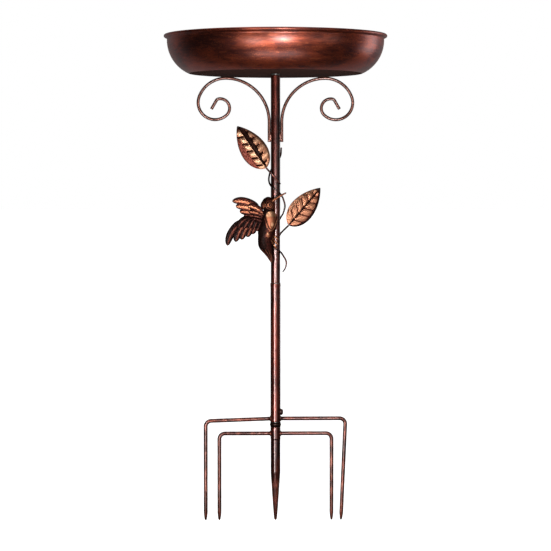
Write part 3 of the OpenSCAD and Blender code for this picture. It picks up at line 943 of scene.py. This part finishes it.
# The head's middle, the angle that each eye looks to, and an eye's rings from the outside inwards:
# radius, height off the head and relief
HEAD = (-12.0, -18.5, 124.6)
EYE_ANGLES = (284, 195)
EYE_RINGS = ((7.2, -3.2, 0.5), (7.1, -0.9, 0.7), (6.6, -0.3, 0.7), (6.0, -0.5, 0.1), (5.3, -0.4, 0.04),
             (5.0, 0.5, 0.4), (4.4, 1.1, 0.62), (3.2, 1.5, 0.6), (2.3, 1.5, 0.35), (2.0, 1.3, 0.02),
             (1.6, 1.9, 0.15), (1.0, 2.3, 0.6), (0.1, 2.4, 0.8))


def feather_scales(u, v, rows, across):
    """Overlapping rounded scales over u and v, from 0 to 1: a height, and a relief mark."""
    row = v * rows
    k = math.floor(row)
    t = row - k
    s = u * across + 0.5 * (k % 2)
    d = 2 * abs(s - math.floor(s) - 0.5)
    edge = t - 0.55 * (1 - d * d)
    lift = t if edge < 0 else t - 1.0 + 0.2 * d
    return 0.5 - 0.5 * lift, max(0.0, 1 - abs(edge) * 5)


def chest_shield(x, z):
    """Signed distance in millimetres, positive inside the raised shield on the bird's chest."""
    foot, shoulder, top, middle, widest = 85.5, 107, 116, -8.0, 8.8
    half = widest * math.sqrt(min(1.0, max(0.0, (z - foot) / 20.0)))
    if z > shoulder:
        half = widest * math.sqrt(max(0.0, 1 - ((z - shoulder) / (top - shoulder)) ** 2))
    inside = half - abs(x - middle)
    return inside if foot < z < top else -max(z - top, foot - z, -inside)


def make_bird_body():
    base = low("upper_pole").z
    sections = smooth_run(BIRD_SECTIONS, 16)
    sides = 128
    body = Shape()
    rings, relief_and_painted_light = [], []
    count = len(sections)
    for i, (x, y, z, rx, ry) in enumerate(sections):
        v = i / (count - 1)
        ring, marks = [], []
        for k, a in enumerate(angles(sides)):
            c, s = math.cos(a), math.sin(a)
            px = x + rx * c
            front = rise(-s, -0.05, 0.25)
            shield = chest_shield(px, z) * front - 4 * (1 - front)
            inside = rise(shield, 0, 1.4)
            border = ridge(shield, -1.5, 1.5) * front
            groove = ridge(shield, 0.1, 0.8) * front
            plumage = (1 - inside) * rise(z, 55, 60) * (1 - rise(z, 112, 117))
            lift, line = feather_scales(k / sides, v, 17, 13)
            crown = rise(z, 118, 121)
            fine_lift, fine_line = feather_scales(k / sides, v, 46, 26)
            neck = ridge(z, 116.5, 2.4)
            thigh = math.exp(-((px + 13) / 4.5) ** 2 - ((z - 77) / 5) ** 2) * front
            bump = 0.7 * (lift - 0.5) * plumage + 0.22 * (fine_lift - 0.5) * crown
            bump += 1.3 * inside + 0.7 * border - 0.5 * groove - 0.8 * neck + 1.2 * thigh
            ring.append(Vector((x + (rx + bump) * c, y + (ry + bump) * s, base + z)))
            # Painted shade: the base tone is dark on the back and on the left, under the wings and on the
            # head's left, and lighter only on the front right
            shade = 0.24 * front * rise(px, -20, -11) + 0.06
            mark = shade + 0.24 * (lift - 0.4) * plumage - 0.3 * line * plumage
            mark += 0.08 * crown * fine_lift - 0.2 * fine_line * crown - 0.3 * neck
            mark += 0.42 * thigh + 0.5 * ridge(px, -13.2, 2.2) * ridge(z, 78.5, 2.6) * front
            # glow: the chest shield's tone, with painted highlights at the top of the shield and low near its
            # middle
            glow = 0.66 + 0.3 * ridge(z, 110.5, 8) + 0.3 * ridge(px, -6.5, 4) * ridge(z, 94, 6)
            mark = mark * (1 - inside) + inside * glow
            mark += 0.55 * border * rise(107 - z, 0, 6) - 0.6 * groove
            marks.append(min(1.0, max(0.0, mark)))
        rings.append(ring)
        relief_and_painted_light.append(marks)
    body.skin(rings, relief_and_painted_light)
    for angle in EYE_ANGLES:
        a = math.radians(angle)
        centre = Vector(HEAD) + Vector((10.2 * math.cos(a), 9.0 * math.sin(a), base))
        out = Vector((math.cos(a), math.sin(a), 0.05)).normalized()
        side = out.orthogonal().normalized()
        up = out.cross(side)
        rings = [[centre + out * lift + (side * math.cos(b) + up * math.sin(b)) * r for b in angles(32)]
                 for r, lift, mark in EYE_RINGS]
        body.skin(rings, [mark for r, lift, mark in EYE_RINGS])
    body.piece("hummingbird_body", BIRD_COPPER, "upper_section", ["bird_body"])


def make_beak():
    base = low("upper_pole").z
    path = [Vector((p.x, p.y, base + p.z)) for p in smooth_run(BEAK_POINTS, 8)]
    beak = Shape()
    count = len(path)
    radii = [2.7 - 1.7 * (i / (count - 1)) ** 0.9 for i in range(count)]
    radii[-1] = 0.4
    beak.wire(path, radii, 16, [0.72 - 0.2 * i / count for i in range(count)])
    beak.piece("hummingbird_beak", BIRD_COPPER, "upper_section", ["bird_beak"])


def feather(shape, root, tip, bend, width, front, tone, seed):
    """One closed blade from root to tip: a raised shaft, slanting barbs and a round end."""
    base = low("upper_pole").z
    start, end = Vector(root), Vector(tip)
    along = end - start
    across = Vector((-along.y, along.x)).normalized()
    length = along.length

    def surface(u, v):
        s = 2 * v - 1
        curve = start + along * u + across * bend * 4 * u * (1 - u)
        turn = (along + across * bend * 4 * (1 - 2 * u)).normalized()
        side = Vector((-turn.y, turn.x))
        half = width / 2 * (0.45 + 0.55 * rise(u, 0, 0.35)) * rounded(0.5 + 0.5 * u, 0.16)
        half = max(half, 0.15)
        p = curve + side * half * s * (1 - 0.12 * s * (1 - u))
        shaft = ridge(s, 0, 0.2) * (1 - 0.6 * u)
        barbs = 0.5 + 0.5 * math.sin((u * length - 1.4 * abs(half * s)) * 3.4 + seed)
        lift = 1.1 * (1 - s * s) + 0.45 * shaft + 0.12 * barbs - 1.2 * u * u
        # A light stroke on one side of the shaft is a painted highlight; the other side and both edges are
        # darkened as painted shade where the feathers overlap
        mark = tone + 0.34 * ridge(s, 0.18, 0.36) * rise(u, 0.2, 0.5) + 0.2 * shaft
        mark += 0.1 * (barbs - 0.5) - 0.4 * rise(abs(s), 0.6, 0.95) - 0.1 * rise(-s, 0.0, 0.6)
        return Vector((p.x, front - lift, base + p.y)), min(1.0, max(0.0, mark))

    shape.sheet(surface, 44, 16, 0.6)


# Each feather: root and tip as (x, height up), bend, width and shade
UPPER_FEATHERS = (((-24, 103), (-42, 105.5), -0.8, 10, 0.12), ((-24, 105), (-51, 108), -1.5, 11, 0.1),
                  ((-24, 107), (-57.8, 114), -3, 12, 0.32), ((-24, 109), (-63.8, 122.5), -5, 12.5, 0.46),
                  ((-23, 111), (-69.4, 130.6), -8, 12.5, 0.42))
UPPER_COVERTS = (((-20, 103), (-37, 107.5), -1, 8.5, 0.12), ((-20, 106), (-43, 114), -2.5, 9.5, 0.3),
                 ((-20, 109), (-46, 123), -4.5, 10, 0.45))
LOWER_FEATHERS = (((-24, 96), (-30.5, 83), -1, 10, 0.12), ((-28, 98), (-37.5, 78), -1.5, 10.5, 0.16),
                  ((-32, 99), (-45.3, 73.5), -2, 11, 0.18), ((-36, 101), (-54.8, 69.4), -3, 11.5, 0.18),
                  ((-40, 102), (-64.2, 66), -4.5, 12.5, 0.16), ((-43, 102), (-77, 60), -8.5, 12.5, 0.12))
LOWER_COVERTS = (((-23, 99), (-28, 87), -0.5, 9, 0.06), ((-28, 101), (-35, 87.5), -1, 9.5, 0.08),
                 ((-33, 103), (-43, 87), -1.2, 9.5, 0.12), ((-38, 104), (-51, 87.5), -1.8, 10, 0.12),
                 ((-41, 104.4), (-60, 88.5), -4, 10, 0.1))


def make_wing(name, node, rows, arm):
    """Feathers in rows, each a little nearer the front than the last, under a rounded arm."""
    wing = Shape()
    for k, (front, feathers) in enumerate(rows):
        for i, (root, tip, bend, width, tone) in enumerate(feathers):
            feather(wing, root, tip, bend, width, front - 0.32 * i, tone, 5 * k + i)
    path = [Vector((x, y, low("upper_pole").z + z)) for x, y, z in smooth_run(arm, 8)]
    count = len(path)
    wing.wire(path, [3.4 - 1.9 * i / (count - 1) for i in range(count)], 18,
              [0.14 + 0.2 * abs(math.sin(i * 0.9)) for i in range(count)])
    wing.piece(name, BIRD_COPPER, "upper_section", [node])


def make_wings():
    make_wing("upper_wing", "bird_wing_upper",
              ((WING_Y + 1.2, UPPER_FEATHERS), (WING_Y - 1.4, UPPER_COVERTS)),
              ((-17, -19, 106), (-23, -20.5, 108.5), (-29, -21.5, 112)))
    make_wing("lower_wing", "bird_wing_lower",
              ((WING_Y + 1.0, LOWER_FEATHERS), (WING_Y - 2.0, LOWER_COVERTS)),
              ((-17, -19.5, 97), (-25, -21.5, 100), (-34, -22, 102.6), (-42, -21.4, 103)))


def make_tail():
    base = low("upper_pole").z
    tail = Shape()
    rings, relief_and_painted_light = [], []
    sides = 72
    for x, y, z, rx, ry in smooth_run(TAIL_SECTIONS, 12):
        ring, marks = [], []
        for a in angles(sides):
            rib = abs(math.sin(5 * a + 0.6))
            bump = 0.45 * (rib - 0.6) * min(1.0, rx / 4)
            ring.append(Vector((x + (rx + bump) * math.cos(a), y + (ry + bump) * math.sin(a), base + z)))
            marks.append(min(1.0, max(0.0, 0.62 * rib ** 5)))
        rings.append(ring)
        relief_and_painted_light.append(marks)
    tail.skin(rings, relief_and_painted_light)
    tail.piece("hummingbird_tail", BIRD_COPPER, "upper_section", ["bird_tail"])


def make_claws():
    """Legs down the front of the belly, and toes that bend round the front of the pole."""
    base = low("upper_pole").z
    grip = half_width("upper_pole") + 1.4
    claws = Shape()
    for height, turn in ((60, 35), (67, 50), (74, 62)):
        toe = []
        for k in range(17):
            a = math.radians(248 + turn * k / 16)
            toe.append(Vector((grip * math.cos(a), grip * math.sin(a),
                               base + height + 2.0 - 8.0 * k / 16)))
        leg = smooth_run(((-14.5, -24.6, base + height + 13), (-11.0, -23.6, base + height + 10),
                          (-6.5, -17.5, base + height + 5.8), toe[0]), 6)
        path = leg[:-1] + toe
        radii = tapered(len(path), 1.6, 0.9, 0.35)
        claws.wire(path, radii, 14, [0.55 + 0.3 * abs(math.sin(k * 0.8)) for k in range(len(path))])
    claws.piece("hummingbird_claws", BIRD_COPPER, "upper_section", ["bird_claws"])


# -------------------- studio


def plain_finish(name, shade, glow):
    f = Finish(name, Base_Color=colour(shade, shade, shade), Roughness=1.0,
               Emission_Color=colour(1, 1, 1), Emission_Strength=glow)
    return f.material


def make_floor():
    mesh = bpy.data.meshes.new("studio_floor")
    size = 60.0  # metres, so that it fills the picture to the skyline
    mesh.from_pydata([(-size, -size, 0), (size, -size, 0), (size, size, 0), (-size, size, 0)],
                     [], [(0, 1, 2, 3)])
    floor = put("studio_floor", mesh)
    mesh.materials.append(plain_finish("pale_floor", 0.8, 0.85))
    floor.location.z = CAD_BOUNDS[0][2] - 0.0005
    floor.visible_glossy = False
    floor.visible_diffuse = False


def make_world():
    """White to the camera. As a light it is dark in front of the bird bath and brighter behind it."""
    world = bpy.data.worlds.new("soft_studio")
    bpy.context.scene.world = world
    world.use_nodes = True
    tree = world.node_tree
    tree.nodes.clear()

    def add(kind, **settings):
        node = tree.nodes.new(kind)
        for key, setting in settings.items():
            setattr(node, key, setting)
        return node

    output, ray = add("ShaderNodeOutputWorld"), add("ShaderNodeLightPath")
    shown, lit = add("ShaderNodeBackground"), add("ShaderNodeBackground")
    shown.inputs["Strength"].default_value = 1.0
    shown.inputs["Color"].default_value = colour(1.0, 1.0, 1.0)
    way, parts = add("ShaderNodeTexCoord"), add("ShaderNodeSeparateXYZ")
    wall = add("ShaderNodeMapRange", interpolation_type="SMOOTHSTEP")
    for key, value in (("From Min", 0.25), ("From Max", 0.8), ("To Min", 0.03), ("To Max", 0.3)):
        wall.inputs[key].default_value = value
    either = add("ShaderNodeMixShader")
    for start, end in (
        (way.outputs["Generated"], parts.inputs[0]), (parts.outputs["Y"], wall.inputs["Value"]),
        (wall.outputs[0], lit.inputs["Strength"]), (ray.outputs["Is Camera Ray"], either.inputs[0]),
        (lit.outputs[0], either.inputs[1]), (shown.outputs[0], either.inputs[2]),
        (either.outputs[0], output.inputs[0]),
    ):
        tree.links.new(start, end)


# Softboxes: place and aim in metres, width, height, watts and the spread of the light in degrees
SOFTBOXES = {
    "front_spot": ((0.154, -1.64, 0.4), (0, -0.15, 0.74), 0.26, 0.13, 15, 180),
    "front_left_box": ((-0.62, -1.45, 0.42), (0, -0.1, 0.74), 0.5, 0.3, 1.7, 180),
    "front_right_box": ((1.2, -1.2, 0.5), (0, 0, 0.7), 1.2, 0.4, 1.3, 180),
    "low_front_box": ((0, -0.5, 0.1), (0, -0.15, 0.74), 0.55, 0.22, 1.1, 180),
    "right_back_box": ((1.5, 0.7, 0.6), (0.1, 0, 0.6), 0.6, 1.0, 4, 180),
    "left_low_box": ((-0.35, -0.9, 0.2), (0, 0, 0.2), 0.16, 0.6, 1.6, 60),
}


def make_lights():
    overhead = bpy.data.lights.new("overhead", "SUN")
    overhead.angle = math.radians(60)
    overhead.energy = 1.2
    put("overhead", overhead).location = (0, 0, 3)
    for name, (place, aim, width, height, watts, spread) in SOFTBOXES.items():
        light = bpy.data.lights.new(name, "AREA")
        light.shape = "RECTANGLE"
        light.size = width
        light.size_y = height
        light.energy = watts
        light.spread = math.radians(spread)
        lamp = put(name, light)
        lamp.location = place
        lamp.rotation_euler = (Vector(aim) - Vector(place)).to_track_quat("-Z", "Y").to_euler()
        lamp.visible_camera = False


def make_camera():
    lens = bpy.data.cameras.new("camera")
    camera = put("camera", lens)
    lens.sensor_width = 36.0
    lens.lens = 36.0 * CAMERA_DISTANCE / PICTURE_WIDTH
    lens.clip_start = 0.05
    lens.clip_end = 50.0
    yaw = math.radians(CAMERA_YAW)
    camera.location = (-math.sin(yaw) * CAMERA_DISTANCE, -math.cos(yaw) * CAMERA_DISTANCE,
                       CAMERA_HEIGHT)
    aim = Vector((0, 0, PICTURE_MIDDLE)) - camera.location
    camera.rotation_euler = aim.to_track_quat("-Z", "Y").to_euler()
    bpy.context.scene.camera = camera


def finish_hidden_bars():
    for node in ("spigot", "coupler", "bowl_peg"):
        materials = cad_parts[node].data.materials
        materials.clear()
        materials.append(BAR_STEEL)


make_camera()
make_world()
make_lights()
make_floor()
make_bowl()
make_tubes()
make_spike()
make_ring()
make_boss()
make_screw()
make_washer()
make_prongs()
make_scroll("left_scroll", "scroll_left", -1, 1.0)
make_scroll("right_scroll", "scroll_right", 1, 2.0)
make_vines()
make_leaves()
make_bird_body()
make_beak()
make_wings()
make_tail()
make_claws()
finish_hidden_bars()
bpy.context.scene.view_settings.view_transform = "Standard"
